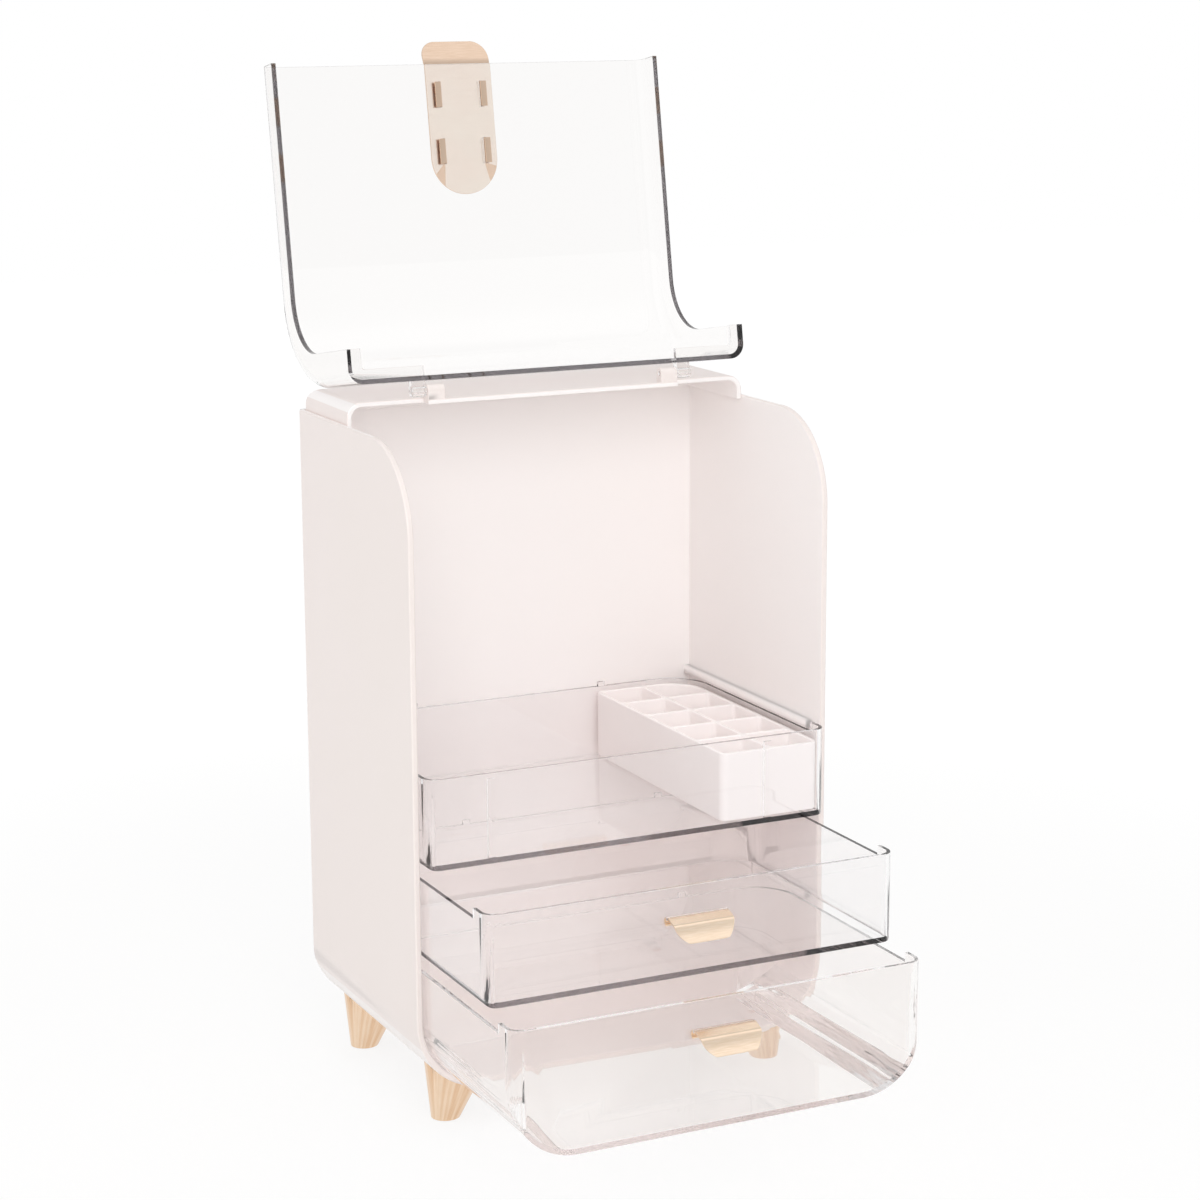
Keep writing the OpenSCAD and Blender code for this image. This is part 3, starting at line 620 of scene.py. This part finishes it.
studio = {
    "worldLevel": 0.56, "floorColour": "#f3f2f1", "floorGlow": 0.82, "fullGlow": 1.02, "fade": (0.35, 0.9),
    "floorSize": 8.0, "floorBelowMm": 0.1, "lampsAimAt": (0, 0, 0.25),
    "key": {"at": (-0.6, -2.0, 1.2), "size": 1.5, "level": 0.37},
    "fill": {"at": (-2.1, 0.0, 0.9), "size": 1.8, "level": 0.20},
    "top": {"at": (0.1, -0.5, 2.3), "size": 2.0, "level": 0.23},
    "back": {"at": (1.5, 1.7, 0.9), "size": 1.8, "level": 0.17},
    "cards": [(0.0, 0.6), (0.05, 0.6), (0.12, 1.1), (0.22, 1.1), (0.3, 0.7), (0.5, 0.9), (0.7, 0.65),
              (0.8, 1.1), (0.88, 1.1), (0.95, 0.6), (1.0, 1.0)],  # part of a turn, grey
}


def showsBackdrop(tree):  # 1 for rays that see the backdrop itself: straight, mirrored or through glass
    path = addNode(tree, "ShaderNodeLightPath")
    total = path.outputs["Is Camera Ray"]
    for name in ("Is Glossy Ray", "Is Transmission Ray"):
        total = addNode(tree, "ShaderNodeMath", {0: total, 1: path.outputs[name]},
                        operation="MAXIMUM").outputs[0]
    return total


# A white tent. Only mirrored rays see the grey cards that stand round it and give metal its streaks
def studioWorld():
    world = bpy.data.worlds.new("white studio")
    world.use_nodes = True
    tree = world.node_tree
    tree.nodes.clear()
    level = addNode(tree, "ShaderNodeMapRange",
                    {"Value": showsBackdrop(tree), "To Min": studio["worldLevel"],
                     "To Max": 1.0}).outputs["Result"]
    outward = addNode(tree, "ShaderNodeTexCoord").outputs["Generated"]
    way = addNode(tree, "ShaderNodeSeparateXYZ", {0: outward})
    bearing = addNode(tree, "ShaderNodeMath", {0: way.outputs["X"], 1: way.outputs["Y"]},
                      operation="ARCTAN2").outputs[0]
    turns = addNode(tree, "ShaderNodeMapRange",
                    {"Value": bearing, "From Min": -math.pi, "From Max": math.pi}).outputs["Result"]
    cards = addNode(tree, "ShaderNodeValToRGB", {0: turns})
    cards.color_ramp.interpolation = "EASE"
    marks = cards.color_ramp.elements
    marks.remove(marks[1])
    for at, grey in studio["cards"]:
        mark = marks.new(at) if at else marks[0]
        mark.color = (grey, grey, grey, 1)
    path = addNode(tree, "ShaderNodeLightPath")
    mirrored = addNode(tree, "ShaderNodeMath",
                       {0: path.outputs["Is Glossy Ray"], 1: path.outputs["Is Transmission Ray"]},
                       operation="SUBTRACT", use_clamp=True).outputs[0]
    tent = addNode(tree, "ShaderNodeMix", {0: mirrored, 6: (1, 1, 1, 1), 7: cards.outputs["Color"]},
                   data_type="RGBA").outputs[2]
    sky = addNode(tree, "ShaderNodeBackground", {"Color": tent, "Strength": level})
    addNode(tree, "ShaderNodeOutputWorld", {"Surface": sky.outputs[0]})
    return world


# Matt white paint that glows to full white away from the middle, where the object's shadow falls
def floorPaint():
    material, tree = newMaterial("matt white floor")
    paint = addNode(tree, "ShaderNodeBsdfDiffuse", {"Color": linearColour(studio["floorColour"])})
    spot = addNode(tree, "ShaderNodeTexCoord").outputs["Object"]
    away = addNode(tree, "ShaderNodeVectorMath", {0: spot}, operation="LENGTH").outputs["Value"]
    fade = addNode(tree, "ShaderNodeMapRange",
                   {"Value": away, "From Min": studio["fade"][0], "From Max": studio["fade"][1],
                    "To Min": studio["floorGlow"], "To Max": 1.0},
                   interpolation_type="SMOOTHSTEP").outputs["Result"]
    share = addNode(tree, "ShaderNodeMath", {0: showsBackdrop(tree), 1: fade},
                    operation="MULTIPLY").outputs[0]
    glow = addNode(tree, "ShaderNodeEmission", {"Color": (1, 1, 1, 1), "Strength": studio["fullGlow"]})
    both = addNode(tree, "ShaderNodeMixShader", {0: share, 1: paint.outputs[0], 2: glow.outputs[0]})
    addNode(tree, "ShaderNodeOutputMaterial", {"Surface": both.outputs[0]})
    return material


def softbox(name, lampPlan):
    data = bpy.data.lights.new(name, "AREA")
    data.shape = "SQUARE"
    data.size = lampPlan["size"]
    aim = Vector(studio["lampsAimAt"]) - Vector(lampPlan["at"])
    data.energy = lampPlan["level"] * math.pi ** 2 * aim.length_squared  # the level holds at any distance
    lamp = bpy.data.objects.new(name, data)
    lamp.location = lampPlan["at"]
    lamp.rotation_euler = aim.to_track_quat("-Z", "Y").to_euler()
    bpy.context.scene.collection.objects.link(lamp)
    lamp.visible_glossy = False
    lamp.visible_transmission = False
    lamp.visible_camera = False


bpy.context.scene.world = studioWorld()
half, floorZ = studio["floorSize"] / 2, -studio["floorBelowMm"] * mm
floorMesh = bpy.data.meshes.new("floor")
floorMesh.from_pydata([(x * half, y * half, floorZ) for x, y in ((-1, -1), (1, -1), (1, 1), (-1, 1))],
                      [], [(0, 1, 2, 3)])
floorMesh.materials.append(floorPaint())
floor = bpy.data.objects.new("floor", floorMesh)
bpy.context.scene.collection.objects.link(floor)
for lampName in ("key", "fill", "top", "back"):
    softbox(lampName + " softbox", studio[lampName])

view = {"at": (-0.6281, -1.3411, 0.5737), "turn": 25.87, "tilt": 12.32, "roll": -0.26,
        "lensMm": 87.13, "sensorMm": 36, "nearest": 0.05}
turn, tilt, roll = (math.radians(view[angle]) for angle in ("turn", "tilt", "roll"))
ahead = Vector((math.sin(turn) * math.cos(tilt), math.cos(turn) * math.cos(tilt), -math.sin(tilt)))
level = Vector((math.cos(turn), -math.sin(turn), 0))
plumb = level.cross(ahead)
right = level * math.cos(roll) + plumb * math.sin(roll)
up = plumb * math.cos(roll) - level * math.sin(roll)
cameraData = bpy.data.cameras.new("camera")
cameraData.lens = view["lensMm"]
cameraData.sensor_width = view["sensorMm"]
cameraData.clip_start = view["nearest"]
camera = bpy.data.objects.new("camera", cameraData)
camera.matrix_world = Matrix.Translation(view["at"]) @ Matrix((right, up, -ahead)).transposed().to_4x4()
bpy.context.scene.collection.objects.link(camera)
bpy.context.scene.camera = camera
bpy.context.scene.view_settings.view_transform = "Standard"

bounces = {"mirrored": 64, "diffuse": 10, "straight": 32}  # light crosses many clear walls in a row
paths = bpy.context.scene.cycles
paths.max_bounces = paths.glossy_bounces = paths.transmission_bounces = bounces["mirrored"]
paths.diffuse_bounces = bounces["diffuse"]
paths.transparent_max_bounces = bounces["straight"]
print("studio made")
